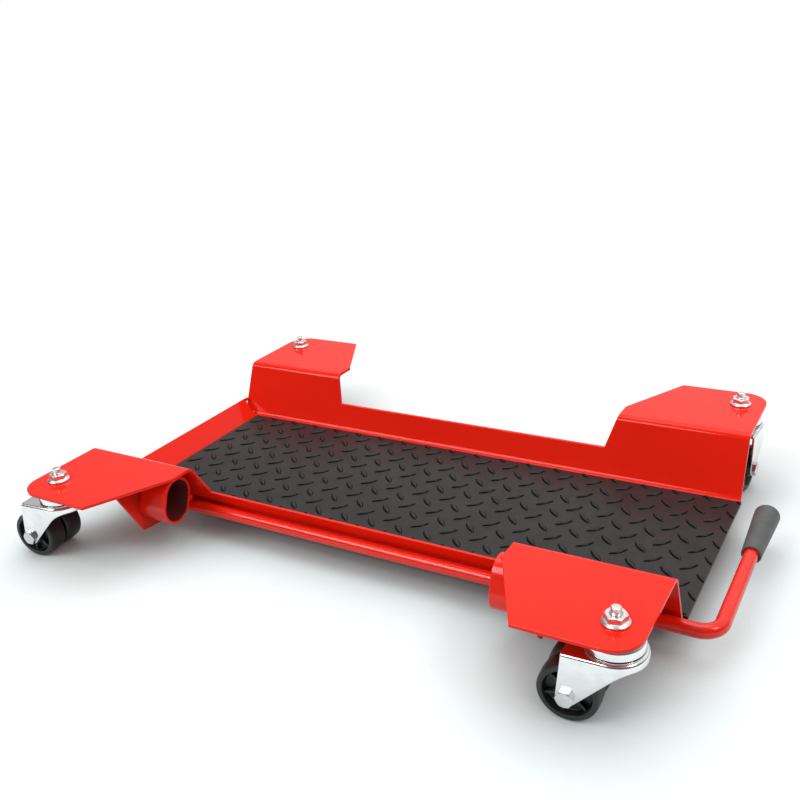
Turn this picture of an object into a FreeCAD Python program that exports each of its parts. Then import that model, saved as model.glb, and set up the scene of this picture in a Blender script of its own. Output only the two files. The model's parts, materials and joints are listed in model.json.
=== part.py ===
"""Motorcycle mover dolly: a folded steel pan on four twin-wheel castors, with a swinging lever.

Millimetres. X runs along the bed from the end tab (-X) to the open entry (+X), Y across it, Z up.
The origin is the middle of the bed on top of the rubber mat.
"""
import FreeCAD, Part
import math
import os
import Sketcher

# Driving dimensions

SIZES = {
    # Pan: bed, walls, lips and wings
    "sheet_thk": 3,
    "pan_length": 636,
    "bed_half": 106,
    "wall_lean": 24,
    "foot_bend": 8,
    "top_bend": 9,
    "wing_height": 59,
    "wing_width": 142,
    "lip_height": 26,
    "corner_length": 147,
    "lip_slant": 10,
    "wing_taper_start": 60,
    "wing_taper_run": 42,
    "wing_corner": 26,
    # End tab
    "tab_angle": 40,
    "tab_run": 24,
    "tab_bend": 6,
    "tab_gap": 1.5,
    "tab_flare": 8,
    # Rubber mat
    "mat_thk": 3,
    "mat_side_gap": 0.5,
    "mat_overhang": 2,
    # Sleeves, their bosses and the gussets
    "sleeve_width": 36.4,
    "sleeve_flat": 12.6,
    "sleeve_lean": 20,
    "sleeve_wall": 3,
    "sleeve_offset": 56.5,
    "left_sleeve_length": 35,
    "right_sleeve_length": 43,
    "weld_gap": 0.1,
    "boss_dia": 7,
    "boss_reach": 6,
    "boss_inset": 4.5,
    "gusset_inset": 98,
    "gusset_thk": 3,
    "gusset_front_offset": 106,
    "gusset_toe_offset": 75.5,
    "gusset_toe_drop": 1,
    "gusset_drop": 7,
    "gusset_relief": 14,
    # Lever
    "bar_dia": 13,
    "bar_offset": 22,
    "bar_height": 6,
    "bar_tail": 8,
    "elbow_reach": 31,
    "elbow_bend": 17,
    "handle_reach": 206,
    "grip_length": 78,
    "grip_wall": 5,
    "grip_mouth_dia": 18,
    "grip_end_dia": 24,
    "grip_round": 3,
    "ring_dia": 16,
    "ring_thk": 1.5,
    "ring_groove": 1,
    # Castors: place and overall
    "stem_end_inset": 25,
    "stem_edge_inset": 34,
    "castor_height": 80.5,
    "castor_trail": 30,
    "near_left_heading": 185,
    "near_right_heading": 182,
    "far_left_heading": 200,
    "far_right_heading": 266,
    # Castors: swivel head
    "head_height": 17.2,
    "race_dia": 46,
    "race_top_dia": 36,
    "race_height": 15.5,
    "race_rim": 6,
    "seal_thk": 1.2,
    "seal_width": 2.5,
    "ball_dia": 4.76,
    "ball_pcd": 30,
    "ball_room": 0.3,
    "ball_play": 0.08,
    "stem_dia": 10,
    "stem_head_dia": 17,
    "stem_head_thk": 4.5,
    "stem_stickout": 6,
    "stem_hole_play": 0.5,
    "nut_flats": 16,
    "nut_height": 8,
    "nut_flange_dia": 22,
    "nut_flange_thk": 2,
    "near_left_nut_turn": 54,
    "near_right_nut_turn": 12,
    "far_left_nut_turn": 22,
    "far_right_nut_turn": 40,
    # Castors: fork, axle and wheels
    "fork_half": 25.4,
    "fork_thk": 2.5,
    "fork_skirt": 4.5,
    "fork_rear": 4,
    "fork_tip": 8,
    "axle_dia": 8,
    "axle_flats": 13,
    "axle_head_thk": 4,
    "axle_nut_thk": 6,
    "axle_stickout": 1.5,
    "bush_dia": 12,
    "wheel_dia": 50,
    "wheel_width": 20.6,
    "wheel_groove": 2.5,
    "wheel_shoulder": 5,
    "wheel_rim": 6,
    "wheel_dish": 7,
    "hub_dia": 19,
    "side_play": 0.3,
    "run_play": 0.05,
}

BALLS = 12
NEAR, FAR = -1, 1
LEFT, RIGHT = -1, 1

doc = FreeCAD.newDocument("Dolly")
sheet = doc.addObject("Spreadsheet::Sheet", "Sizes")
for row, (alias, number) in enumerate(SIZES.items(), start=1):
    sheet.set(f"A{row}", alias)
    sheet.set(f"B{row}", str(number))
    sheet.setAlias(f"B{row}", alias)
doc.recompute()


class Size:
    """A length or angle with its value and the formula that ties it to the sheet."""

    def __init__(self, value, text):
        self.value = value
        self.text = text

    def join(self, sign, other):
        other = other if isinstance(other, Size) else Size(other, f"({other})")
        results = {
            "+": lambda a, b: a + b,
            "-": lambda a, b: a - b,
            "*": lambda a, b: a * b,
            "/": lambda a, b: a / b,
        }
        return Size(results[sign](self.value, other.value), f"({self.text} {sign} {other.text})")

    def __add__(self, other):
        return self.join("+", other)

    def __sub__(self, other):
        return self.join("-", other)

    def __mul__(self, other):
        return self.join("*", other)

    def __rmul__(self, other):
        return self.join("*", other)

    def __truediv__(self, other):
        return self.join("/", other)

    def __neg__(self):
        return self.join("*", -1)


def sin(angle):
    return Size(math.sin(math.radians(angle.value)), f"sin({angle.text})")


def cos(angle):
    return Size(math.cos(math.radians(angle.value)), f"cos({angle.text})")


def tan(angle):
    return Size(math.tan(math.radians(angle.value)), f"tan({angle.text})")


def hypot(a, b):
    return Size(math.hypot(a.value, b.value), f"sqrt({a.text} ^ 2 + {b.text} ^ 2)")


class Sheet:
    """Every size of the sheet as an attribute of its own name."""


s = Sheet()
for alias in SIZES:
    setattr(s, alias, Size(sheet.get(alias), f"Sizes.{alias}"))
ZERO = Size(0.0, "0")

# Drawing helpers


class Bend:
    """The arc from the vertex before it to the vertex after it."""

    def __init__(self, x, y, radius, ccw):
        self.x, self.y, self.radius, self.ccw = x, y, radius, ccw


class Circle:
    """A whole circle in a sketch."""

    def __init__(self, x, y, radius):
        self.x, self.y, self.radius = x, y, radius


def tie(obj, path, size):
    obj.setExpression(path, size.text)


def pin_down(sketch, geo, point, x, y):
    """Hold one sketch point at x, y."""
    for kind, axis, size in (("DistanceX", -2, x), ("DistanceY", -1, y)):
        if size.value == 0:
            sketch.addConstraint(Sketcher.Constraint("PointOnObject", geo, point, axis))
        else:
            index = sketch.addConstraint(Sketcher.Constraint(kind, -1, 1, geo, point, size.value))
            tie(sketch, f"Constraints[{index}]", size)


def hold_radius(sketch, geo, radius):
    index = sketch.addConstraint(Sketcher.Constraint("Radius", geo, radius.value))
    tie(sketch, f"Constraints[{index}]", radius)


def vector(x, y):
    return FreeCAD.Vector(x.value, y.value, 0)


def trace(sketch, outline, closed=True):
    """Draw one outline: (x, y) vertices, with a Bend between two of them where the edge is an arc."""
    if isinstance(outline, Circle):
        ring = Part.Circle(vector(outline.x, outline.y), FreeCAD.Vector(0, 0, 1), outline.radius.value)
        geo = sketch.addGeometry(ring)
        pin_down(sketch, geo, 3, outline.x, outline.y)
        hold_radius(sketch, geo, outline.radius)
        return
    corners = [i for i, item in enumerate(outline) if not isinstance(item, Bend)]
    runs = list(zip(corners, corners[1:] + corners[:1])) if closed else list(zip(corners, corners[1:]))
    first = last = None
    for i, j in runs:
        start, end = vector(*outline[i]), vector(*outline[j])
        between = outline[(i + 1) % len(outline)]
        head, tail = 1, 2
        if isinstance(between, Bend):
            centre = vector(between.x, between.y)
            spokes = (start - centre, end - centre) if between.ccw else (end - centre, start - centre)
            angles = [math.atan2(spoke.y, spoke.x) for spoke in spokes]
            ring = Part.Circle(centre, FreeCAD.Vector(0, 0, 1), between.radius.value)
            geo = sketch.addGeometry(Part.ArcOfCircle(ring, *angles))
            head, tail = (1, 2) if between.ccw else (2, 1)
            hold_radius(sketch, geo, between.radius)
        else:
            geo = sketch.addGeometry(Part.LineSegment(start, end))
        pin_down(sketch, geo, head, *outline[i])
        if last:
            sketch.addConstraint(Sketcher.Constraint("Coincident", *last, geo, head))
        first = first or (geo, head)
        last = (geo, tail)
    if closed:
        sketch.addConstraint(Sketcher.Constraint("Coincident", *last, *first))
    else:
        pin_down(sketch, *last, *outline[corners[-1]])


def draw(body, plane, *outlines, lift=ZERO, closed=True):
    """A sketch on one of the body's own planes, lifted along the plane's normal."""
    sketch = body.newObject("Sketcher::SketchObject", "Sketch")
    base = next(f for f in body.Origin.OriginFeatures if f.Role == plane)
    sketch.AttachmentSupport = (base, [""])
    sketch.MapMode = "FlatFace"
    tie(sketch, "AttachmentOffset.Base.z", lift)
    for outline in outlines:
        trace(sketch, outline, closed)
    return sketch


def extrude(body, kind, sketch, length, side="One side", reverse=False):
    """A Pad or Pocket of the sketch."""
    feature = body.newObject(f"PartDesign::{kind}", kind)
    feature.Profile = sketch
    feature.SideType = side
    feature.Reversed = reverse
    tie(feature, "Length", length)
    return feature


def revolve(body, kind, sketch, axis="V_Axis"):
    """A Revolution or Groove of the sketch about one of its own axes."""
    feature = body.newObject(f"PartDesign::{kind}", kind)
    feature.Profile = sketch
    feature.ReferenceAxis = (sketch, [axis])
    feature.Angle = 360
    return feature


def new_body(label, x=ZERO, y=ZERO, z=ZERO, axis=(0, 0, 1), turn=None):
    """An empty body at x, y, z, turned about an axis."""
    body = doc.addObject("PartDesign::Body", "Body")
    body.Label = label
    body.Placement.Rotation = FreeCAD.Rotation(FreeCAD.Vector(*axis), turn.value if turn else 0)
    for letter, size in zip("xyz", (x, y, z)):
        tie(body, f"Placement.Base.{letter}", size)
    if turn:
        tie(body, "Placement.Rotation.Angle", turn)
    return body


def hexagon(x, y, flats):
    """Hexagon with the given width across flats and a corner on the X side."""
    corner = flats / (2 * math.cos(math.radians(30)))
    angles = [math.radians(60 * k) for k in range(6)]
    return [(x + corner * math.cos(a), y + corner * math.sin(a)) for a in angles]


# Pan

half_length = s.pan_length / 2
wing_reach = s.bed_half + s.wing_width
lip_half = half_length - s.corner_length
wing_taper_y = s.bed_half + s.wing_taper_start
bed_top = -s.mat_thk
bed_under = bed_top - s.sheet_thk
wing_under = s.wing_height - s.sheet_thk
foot_z = bed_top + s.foot_bend
top_z = s.wing_height - s.top_bend
top_y = (s.bed_half + (s.foot_bend + s.top_bend) * cos(s.wall_lean)
         + (top_z - foot_z + (s.foot_bend + s.top_bend) * sin(s.wall_lean)) * tan(s.wall_lean))


def wall_point(y, z, radius):
    """Where an arc about y, z meets the leaning wall, on the side away from the bed."""
    return y + radius * cos(s.wall_lean), z - radius * sin(s.wall_lean)


foot_outer = s.foot_bend + s.sheet_thk
top_inner = s.top_bend - s.sheet_thk


def section():
    """The folded sheet's section across the bed, in Y and Z, from one wing's edge to the other."""
    upper = [
        (s.bed_half, bed_top),
        Bend(s.bed_half, foot_z, s.foot_bend, True),
        wall_point(s.bed_half, foot_z, s.foot_bend),
        wall_point(top_y, top_z, -s.top_bend),
        Bend(top_y, top_z, s.top_bend, False),
        (top_y, s.wing_height),
        (wing_reach, s.wing_height),
    ]
    lower = [
        (wing_reach, wing_under),
        (top_y, wing_under),
        Bend(top_y, top_z, top_inner, True),
        wall_point(top_y, top_z, -top_inner),
        wall_point(s.bed_half, foot_z, foot_outer),
        Bend(s.bed_half, foot_z, foot_outer, False),
        (s.bed_half, bed_under),
    ]
    right = upper + lower

    def mirrored(item):
        if isinstance(item, Bend):
            return Bend(-item.x, item.y, item.radius, item.ccw)
        return -item[0], item[1]

    return right + [mirrored(item) for item in reversed(lower)] + [mirrored(item) for item in reversed(upper)]


def wing_trim(x_side, y_side):
    """What is cut off one wing: the slanted inner corner and the round outer corner."""
    beyond = wing_reach + s.wing_corner
    inner = lip_half + s.lip_slant
    slant = [
        (x_side * (inner - s.lip_slant), y_side * wing_taper_y),
        (x_side * inner, y_side * wing_taper_y),
        (x_side * (inner + s.wing_taper_run), y_side * wing_reach),
        (x_side * (inner + s.wing_taper_run), y_side * beyond),
        (x_side * (inner - s.lip_slant), y_side * beyond),
    ]
    corner_x, corner_y = half_length - s.wing_corner, wing_reach - s.wing_corner
    outside = half_length + s.wing_corner
    round_corner = [
        (x_side * half_length, y_side * corner_y),
        Bend(x_side * corner_x, y_side * corner_y, s.wing_corner, x_side * y_side > 0),
        (x_side * corner_x, y_side * wing_reach),
        (x_side * corner_x, y_side * beyond),
        (x_side * outside, y_side * beyond),
        (x_side * outside, y_side * corner_y),
    ]
    return [slant, round_corner]


tab_foot = -half_length + s.tab_run
tab_bend_x = tab_foot + s.tab_bend * tan(s.tab_angle / 2)
tab_bend_z = bed_top + s.tab_bend
tab_half = s.bed_half - s.tab_gap


def tab_point(radius):
    """Where an arc about the tab's bend meets the sloped tab, in X and Z."""
    return tab_bend_x - radius * sin(s.tab_angle), tab_bend_z - radius * cos(s.tab_angle)


def build_tab(body):
    """The end tab: a bend up from the bed, then a sloped plate that widens towards its top edge."""
    outer = s.tab_bend + s.sheet_thk
    root = tab_bend_x + s.sheet_thk
    bend = [
        (root, bed_top),
        (tab_bend_x, bed_top),
        Bend(tab_bend_x, tab_bend_z, s.tab_bend, False),
        tab_point(s.tab_bend),
        tab_point(outer),
        Bend(tab_bend_x, tab_bend_z, outer, True),
        (tab_bend_x, bed_under),
        (root, bed_under),
    ]
    extrude(body, "Pad", draw(body, "XZ_Plane", bend), 2 * tab_half, "Symmetric")
    foot_x, foot_height = tab_point(s.tab_bend)
    slope = (half_length + foot_x) / cos(s.tab_angle)
    top_half = tab_half + s.tab_flare
    outline = [(ZERO, -tab_half), (ZERO, tab_half), (-slope, top_half), (-slope, -top_half)]
    plate = draw(body, "XY_Plane", outline, lift=foot_height)
    plate.AttachmentOffset.Rotation = FreeCAD.Rotation(FreeCAD.Vector(0, 1, 0), s.tab_angle.value)
    tie(plate, "AttachmentOffset.Base.x", foot_x)
    tie(plate, "AttachmentOffset.Rotation.Angle", s.tab_angle)
    extrude(body, "Pad", plate, s.sheet_thk, reverse=True)


def build_pan():
    body = new_body("pan")
    extrude(body, "Pad", draw(body, "YZ_Plane", section()), s.pan_length, "Symmetric")
    # The low lips: the walls and wings are cut away between the corners
    above = s.wing_height + s.sheet_thk
    slope = s.lip_slant / (s.wing_height - s.lip_height)
    top_half = lip_half + (above - s.lip_height) * slope
    window = [(-lip_half, s.lip_height), (lip_half, s.lip_height), (top_half, above), (-top_half, above)]
    extrude(body, "Pocket", draw(body, "XZ_Plane", window), 3 * wing_reach, "Symmetric")
    trims = [cut for x in (LEFT, RIGHT) for y in (NEAR, FAR) for cut in wing_trim(x, y)]
    trim = draw(body, "XY_Plane", *trims, lift=s.wing_height)
    extrude(body, "Pocket", trim, s.top_bend + s.sheet_thk, "Symmetric")
    # The bed stops short of the end, where the tab is bent up instead
    below, above_bed = bed_under - s.sheet_thk, bed_top + s.sheet_thk
    notch = [(-s.bed_half, below), (s.bed_half, below), (s.bed_half, above_bed), (-s.bed_half, above_bed)]
    notch_sketch = draw(body, "YZ_Plane", notch, lift=-half_length)
    extrude(body, "Pocket", notch_sketch, tab_bend_x + half_length, reverse=True)
    build_tab(body)
    stem_hole = s.stem_dia / 2 + s.stem_hole_play
    holes = [Circle(x * stem_x, y * stem_y, stem_hole) for x in (LEFT, RIGHT) for y in (NEAR, FAR)]
    extrude(body, "Pocket", draw(body, "XY_Plane", *holes, lift=s.wing_height), 2 * s.sheet_thk, "Symmetric")


def build_mat():
    body = new_body("rubber_mat", z=bed_top)
    start = tab_bend_x + s.mat_side_gap
    end = half_length + s.mat_overhang
    half = s.bed_half - s.mat_side_gap
    outline = [(start, -half), (end, -half), (end, half), (start, half)]
    extrude(body, "Pad", draw(body, "XY_Plane", outline), s.mat_thk)


# Sleeves and gussets under the near wings

sleeve_y = s.bed_half + s.sleeve_offset
# Half the height that a sleeve takes up under the wing, leaning as it does
sleeve_rise = s.sleeve_width / 2 + s.sleeve_flat / 2 * cos(s.sleeve_lean)
sleeve_z = wing_under - sleeve_rise - s.weld_gap
gusset_x = half_length - s.gusset_inset
gusset_inboard = gusset_x - s.gusset_thk / 2
gusset_front = s.bed_half + s.gusset_front_offset
gusset_toe = s.bed_half + s.gusset_toe_offset
bar_y = s.bed_half + s.bar_offset


def sleeve_length(x_side):
    return s.right_sleeve_length if x_side > 0 else s.left_sleeve_length


def sleeve_body(label, x):
    """A body on the sleeves' axis, with its Z along their long side, which leans towards the bed."""
    return new_body(label, x, -sleeve_y, sleeve_z, (-1, 0, 0), s.sleeve_lean)


def sleeve_outline(inset):
    """Flat-sided oval, the given distance inside the sleeve's outer face."""
    radius, flat = s.sleeve_width / 2 - inset, s.sleeve_flat / 2
    crown = Bend(ZERO, flat, radius, True)
    foot = Bend(ZERO, -flat, radius, True)
    return [
        (radius, -flat),
        (radius, flat),
        crown,
        (ZERO, flat + radius),
        crown,
        (-radius, flat),
        (-radius, -flat),
        foot,
        (ZERO, -flat - radius),
        foot,
    ]


def build_sleeve(label, x_side):
    length = sleeve_length(x_side)
    start = gusset_inboard - length if x_side > 0 else -gusset_inboard
    body = sleeve_body(label, start)
    section_sketch = draw(body, "YZ_Plane", sleeve_outline(ZERO), sleeve_outline(s.sleeve_wall))
    extrude(body, "Pad", section_sketch, length)


def build_gusset(label, x_side):
    body = new_body(label, x_side * gusset_x)
    foot = wall_point(s.bed_half, foot_z, foot_outer)
    shoulder_z = wing_under - s.gusset_relief
    shoulder_y = foot[0] + (shoulder_z - foot[1]) * tan(s.wall_lean)
    outline = [
        (-gusset_front, wing_under),
        (-gusset_toe, -s.gusset_toe_drop),
        (-foot[0], -s.gusset_drop),
        (-foot[0], foot[1]),
        (-shoulder_y, shoulder_z),
        (-shoulder_y - s.gusset_relief, wing_under),
    ]
    hole = Circle(-bar_y, s.bar_height, s.bar_dia / 2 + s.run_play)
    extrude(body, "Pad", draw(body, "YZ_Plane", outline, hole), s.gusset_thk, "Symmetric")


# Lever

bar_start = -(gusset_x + s.gusset_thk / 2 + s.bar_tail)
elbow_x = half_length + s.elbow_reach


def lever_body(label, x=ZERO):
    return new_body(label, x, -bar_y, s.bar_height)


def ring_places():
    """Inboard faces of the retaining rings, beside the two gussets."""
    return [(-gusset_inboard + s.side_play), (gusset_inboard - s.side_play - s.ring_thk)]


def build_lever_bar():
    body = lever_body("lever_bar")
    bend_x = elbow_x - s.elbow_bend
    path = [
        (bar_start, ZERO),
        (bend_x, ZERO),
        Bend(bend_x, s.elbow_bend, s.elbow_bend, True),
        (elbow_x, s.elbow_bend),
        (elbow_x, s.handle_reach - s.grip_wall),
    ]
    spine = draw(body, "XY_Plane", path, closed=False)
    round_section = draw(body, "YZ_Plane", Circle(ZERO, ZERO, s.bar_dia / 2), lift=bar_start)
    pipe = body.newObject("PartDesign::AdditivePipe", "Pipe")
    pipe.Profile = round_section
    pipe.Spine = spine
    for place in ring_places():
        outside = s.bar_dia / 2 + s.ring_groove
        bottom = s.bar_dia / 2 - s.ring_groove
        end = place + s.ring_thk
        groove = [(place, bottom), (end, bottom), (end, outside), (place, outside)]
        revolve(body, "Groove", draw(body, "XZ_Plane", groove), "H_Axis")


def build_lever_rings():
    rings = []
    for place in ring_places():
        body = lever_body("lever_ring", place)
        inner = Circle(ZERO, ZERO, s.bar_dia / 2 - s.ring_groove)
        extrude(body, "Pad", draw(body, "YZ_Plane", Circle(ZERO, ZERO, s.ring_dia / 2), inner), s.ring_thk)
        rings.append(body)
    group("lever_rings", rings)


def build_lever_grip():
    body = lever_body("lever_grip", elbow_x)
    mouth = s.handle_reach - s.grip_length
    bore_end = s.handle_reach - s.grip_wall
    bore, end_r = s.bar_dia / 2, s.grip_end_dia / 2
    shell = [
        (bore, mouth),
        (s.grip_mouth_dia / 2, mouth),
        (end_r, s.handle_reach - s.grip_round),
        Bend(end_r - s.grip_round, s.handle_reach - s.grip_round, s.grip_round, True),
        (end_r - s.grip_round, s.handle_reach),
        (ZERO, s.handle_reach),
        (ZERO, bore_end),
        (bore, bore_end),
    ]
    revolve(body, "Revolution", draw(body, "XY_Plane", shell))


# Castors, each drawn from the wing's underside on the stem's axis, with the wheels trailing along +X

stem_x, stem_y = half_length - s.stem_end_inset, wing_reach - s.stem_edge_inset
race_under = -s.race_height
boss_top = race_under - s.seal_thk
fork_top = -s.head_height
fork_under = fork_top - s.fork_thk
skirt_under = fork_under - s.fork_skirt
axle_z = s.wheel_dia / 2 - s.castor_height
ball_z = (race_under + boss_top) / 2
groove_half = s.ball_dia / 2 + s.ball_room
groove_roof = ball_z + s.ball_dia / 2 + s.ball_play
groove_floor = ball_z - s.ball_dia / 2 - s.ball_play
ball_in, ball_out = s.ball_pcd / 2 - groove_half, s.ball_pcd / 2 + groove_half
leg_inner = s.fork_half - s.fork_thk
stem_run = s.stem_dia / 2 + s.run_play


class Castor:
    """Where one castor hangs, which way its wheels trail and how its nut was left turned."""

    def __init__(self, name, x_side, y_side):
        self.name = name
        self.x, self.y = x_side * stem_x, y_side * stem_y
        self.heading = getattr(s, f"{name}_heading")
        self.nut_turn = getattr(s, f"{name}_nut_turn")

    def body(self, piece, lift=ZERO):
        return new_body(f"{self.name}_{piece}", self.x, self.y, wing_under + lift, turn=self.heading)


def build_race(castor):
    body = castor.body("upper_race")
    outer = s.race_dia / 2
    profile = [
        (stem_run, ZERO),
        (s.race_top_dia / 2, ZERO),
        (outer, race_under + s.race_rim),
        (outer, race_under),
        (ball_out, race_under),
        (ball_out, groove_roof),
        (ball_in, groove_roof),
        (ball_in, race_under),
        (stem_run, race_under),
    ]
    revolve(body, "Revolution", draw(body, "XZ_Plane", profile))


def build_seal(castor):
    body = castor.body("seal", boss_top)
    outer = s.race_dia / 2 - s.ball_room
    rings = (Circle(ZERO, ZERO, outer), Circle(ZERO, ZERO, outer - s.seal_width))
    extrude(body, "Pad", draw(body, "XY_Plane", *rings), s.seal_thk - s.run_play)


def build_balls(castor):
    balls = []
    for k in range(BALLS):
        ball = doc.addObject("Part::Sphere", "Ball")
        tie(ball, "Radius", s.ball_dia / 2)
        turn = castor.heading + 360 * k / BALLS
        tie(ball, "Placement.Base.x", castor.x + s.ball_pcd / 2 * cos(turn))
        tie(ball, "Placement.Base.y", castor.y + s.ball_pcd / 2 * sin(turn))
        tie(ball, "Placement.Base.z", wing_under + ball_z)
        balls.append(ball)
    group(f"{castor.name}_balls", balls)


def build_stem(castor):
    body = castor.body("stem")
    head_top = fork_under - s.run_play
    top = s.sheet_thk + s.nut_height + s.stem_stickout
    shank, head = s.stem_dia / 2, s.stem_head_dia / 2
    tip = s.stem_dia / 8
    profile = [
        (ZERO, head_top - s.stem_head_thk),
        (head, head_top - s.stem_head_thk),
        (head, head_top),
        (shank, head_top),
        (shank, top - tip),
        (shank - tip, top),
        (ZERO, top),
    ]
    revolve(body, "Revolution", draw(body, "XZ_Plane", profile))


def build_stem_nut(castor):
    body = new_body(f"{castor.name}_stem_nut", castor.x, castor.y, s.wing_height, turn=castor.nut_turn)
    bore = Circle(ZERO, ZERO, stem_run)
    extrude(body, "Pad", draw(body, "XY_Plane", hexagon(ZERO, ZERO, s.nut_flats), bore), s.nut_height)
    edge = s.nut_flange_dia / 2
    inner = s.nut_flats / 2
    flange = [
        (stem_run, ZERO),
        (edge, ZERO),
        (edge, s.nut_flange_thk),
        (inner, 2 * s.nut_flange_thk),
        (stem_run, 2 * s.nut_flange_thk),
    ]
    revolve(body, "Revolution", draw(body, "XZ_Plane", flange))


fork_end = s.castor_trail + s.fork_rear


def fork_plan(half, rear):
    """The fork from above: a round nose about the stem and straight sides to the rear."""
    nose = Bend(ZERO, ZERO, half, True)
    return [(rear, -half), (rear, half), (ZERO, half), nose, (-half, ZERO), nose, (ZERO, -half)]


def leg_side():
    """One fork leg from the side, in X and Z: a triangle down to a round tip about the axle."""
    tip = s.fork_tip
    run, drop = s.castor_trail, skirt_under - axle_z
    reach = hypot(run, drop)
    # The front edge leaves the skirt below the stem and is tangent to the tip
    ratio = tip / reach
    root = Size(math.sqrt(1 - ratio.value ** 2), f"sqrt(1 - {ratio.text} ^ 2)")
    front_x = s.castor_trail - tip * (ratio * run + root * drop) / reach
    front_z = axle_z + tip * (ratio * drop - root * run) / reach
    rear_x = s.castor_trail + tip
    return [
        (fork_end, fork_under),
        (fork_end, skirt_under),
        (rear_x, axle_z),
        Bend(s.castor_trail, axle_z, tip, False),
        (front_x, front_z),
        (ZERO, skirt_under),
        (ZERO, fork_under),
    ]


def build_fork(castor):
    body = castor.body("fork")
    deep = s.fork_thk + s.fork_skirt
    plan = fork_plan(s.fork_half, fork_end)
    extrude(body, "Pad", draw(body, "XY_Plane", plan, lift=skirt_under), deep)
    hollow = fork_plan(leg_inner, fork_end + s.fork_thk)
    extrude(body, "Pocket", draw(body, "XY_Plane", hollow, lift=skirt_under), s.fork_skirt, reverse=True)
    for side in (-1, 1):
        lift = leg_inner if side < 0 else -s.fork_half
        extrude(body, "Pad", draw(body, "XZ_Plane", leg_side(), lift=lift), s.fork_thk)
    # The lower race: a low boss with the ball groove in it
    boss = (Circle(ZERO, ZERO, s.race_dia / 2), Circle(ZERO, ZERO, stem_run))
    extrude(body, "Pad", draw(body, "XY_Plane", *boss, lift=fork_top), boss_top - fork_top)
    groove = (Circle(ZERO, ZERO, ball_out), Circle(ZERO, ZERO, ball_in))
    extrude(body, "Pocket", draw(body, "XY_Plane", *groove, lift=boss_top), boss_top - groove_floor)
    hole = Circle(ZERO, ZERO, stem_run)
    extrude(body, "Pocket", draw(body, "XY_Plane", hole, lift=fork_top), 4 * s.fork_thk, "Symmetric")
    axle_hole = Circle(s.castor_trail, axle_z, s.axle_dia / 2 + s.run_play)
    extrude(body, "Pocket", draw(body, "XZ_Plane", axle_hole), 4 * s.fork_half, "Symmetric")


def build_axle(castor):
    body = castor.body("axle_bolt")
    end = s.fork_half + s.axle_nut_thk + s.axle_stickout
    shank = Circle(s.castor_trail, axle_z, s.axle_dia / 2)
    # The head is on the +Y side of the trailing wheels, which is the outer side of the near castors
    extrude(body, "Pad", draw(body, "XZ_Plane", shank, lift=-s.fork_half), s.fork_half + end)
    head = draw(body, "XZ_Plane", hexagon(s.castor_trail, axle_z, s.axle_flats), lift=-s.fork_half)
    extrude(body, "Pad", head, s.axle_head_thk, reverse=True)


def build_axle_nut(castor):
    body = castor.body("axle_nut")
    outline = hexagon(s.castor_trail, axle_z, s.axle_flats)
    bore = Circle(s.castor_trail, axle_z, s.axle_dia / 2 + s.run_play)
    extrude(body, "Pad", draw(body, "XZ_Plane", outline, bore, lift=s.fork_half), s.axle_nut_thk)


def build_axle_sleeve(castor):
    body = castor.body("axle_sleeve")
    inner = Circle(s.castor_trail, axle_z, s.axle_dia / 2 + s.run_play)
    outer = Circle(s.castor_trail, axle_z, s.bush_dia / 2)
    extrude(body, "Pad", draw(body, "XZ_Plane", outer, inner), 2 * leg_inner, "Symmetric")


def build_wheel(castor, piece, side):
    """One of the twin wheels: a rounded tread with a dished outer face round the hub."""
    body = doc.addObject("PartDesign::Body", "Body")
    body.Label = f"{castor.name}_{piece}"
    bore = s.bush_dia / 2 + s.run_play
    tread = s.wheel_dia / 2
    inner_face = side * (s.wheel_groove / 2)
    outer_face = side * (s.wheel_groove / 2 + s.wheel_width)
    hub_in, hub_out = side * (s.side_play / 2), side * (leg_inner - s.side_play)
    dish = outer_face - side * s.wheel_dish
    shoulder = s.wheel_shoulder
    rim_inner = tread - s.wheel_rim
    ccw = side > 0
    profile = [
        (bore, hub_in),
        (s.hub_dia / 2, hub_in),
        (s.hub_dia / 2, inner_face),
        (tread - shoulder, inner_face),
        Bend(tread - shoulder, inner_face + side * shoulder, shoulder, ccw),
        (tread, inner_face + side * shoulder),
        (tread, outer_face - side * shoulder),
        Bend(tread - shoulder, outer_face - side * shoulder, shoulder, ccw),
        (tread - shoulder, outer_face),
        (rim_inner, outer_face),
        (rim_inner, dish),
        (s.hub_dia / 2, dish),
        (s.hub_dia / 2, hub_out),
        (bore, hub_out),
    ]
    revolve(body, "Revolution", draw(body, "XY_Plane", profile))
    body.Placement.Rotation = FreeCAD.Rotation(FreeCAD.Vector(0, 0, 1), castor.heading.value)
    tie(body, "Placement.Base.x", castor.x + s.castor_trail * cos(castor.heading))
    tie(body, "Placement.Base.y", castor.y + s.castor_trail * sin(castor.heading))
    tie(body, "Placement.Base.z", wing_under + axle_z)
    tie(body, "Placement.Rotation.Angle", castor.heading)


def group(label, members):
    """Several separate solids under one name."""
    compound = doc.addObject("Part::Compound", "Group")
    compound.Label = label
    compound.Links = members


def build_sleeve_bosses():
    """A short boss on each sleeve's far side, beside its mouth."""
    bosses = []
    for x_side in (LEFT, RIGHT):
        mouth = gusset_inboard - sleeve_length(x_side)
        body = sleeve_body("boss", x_side * (mouth + s.boss_inset))
        outer_end = -s.sleeve_width / 2 - s.weld_gap - s.boss_reach
        disc = draw(body, "XZ_Plane", Circle(ZERO, ZERO, s.boss_dia / 2), lift=outer_end)
        extrude(body, "Pad", disc, s.boss_reach)
        bosses.append(body)
    group("sleeve_bosses", bosses)


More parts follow.
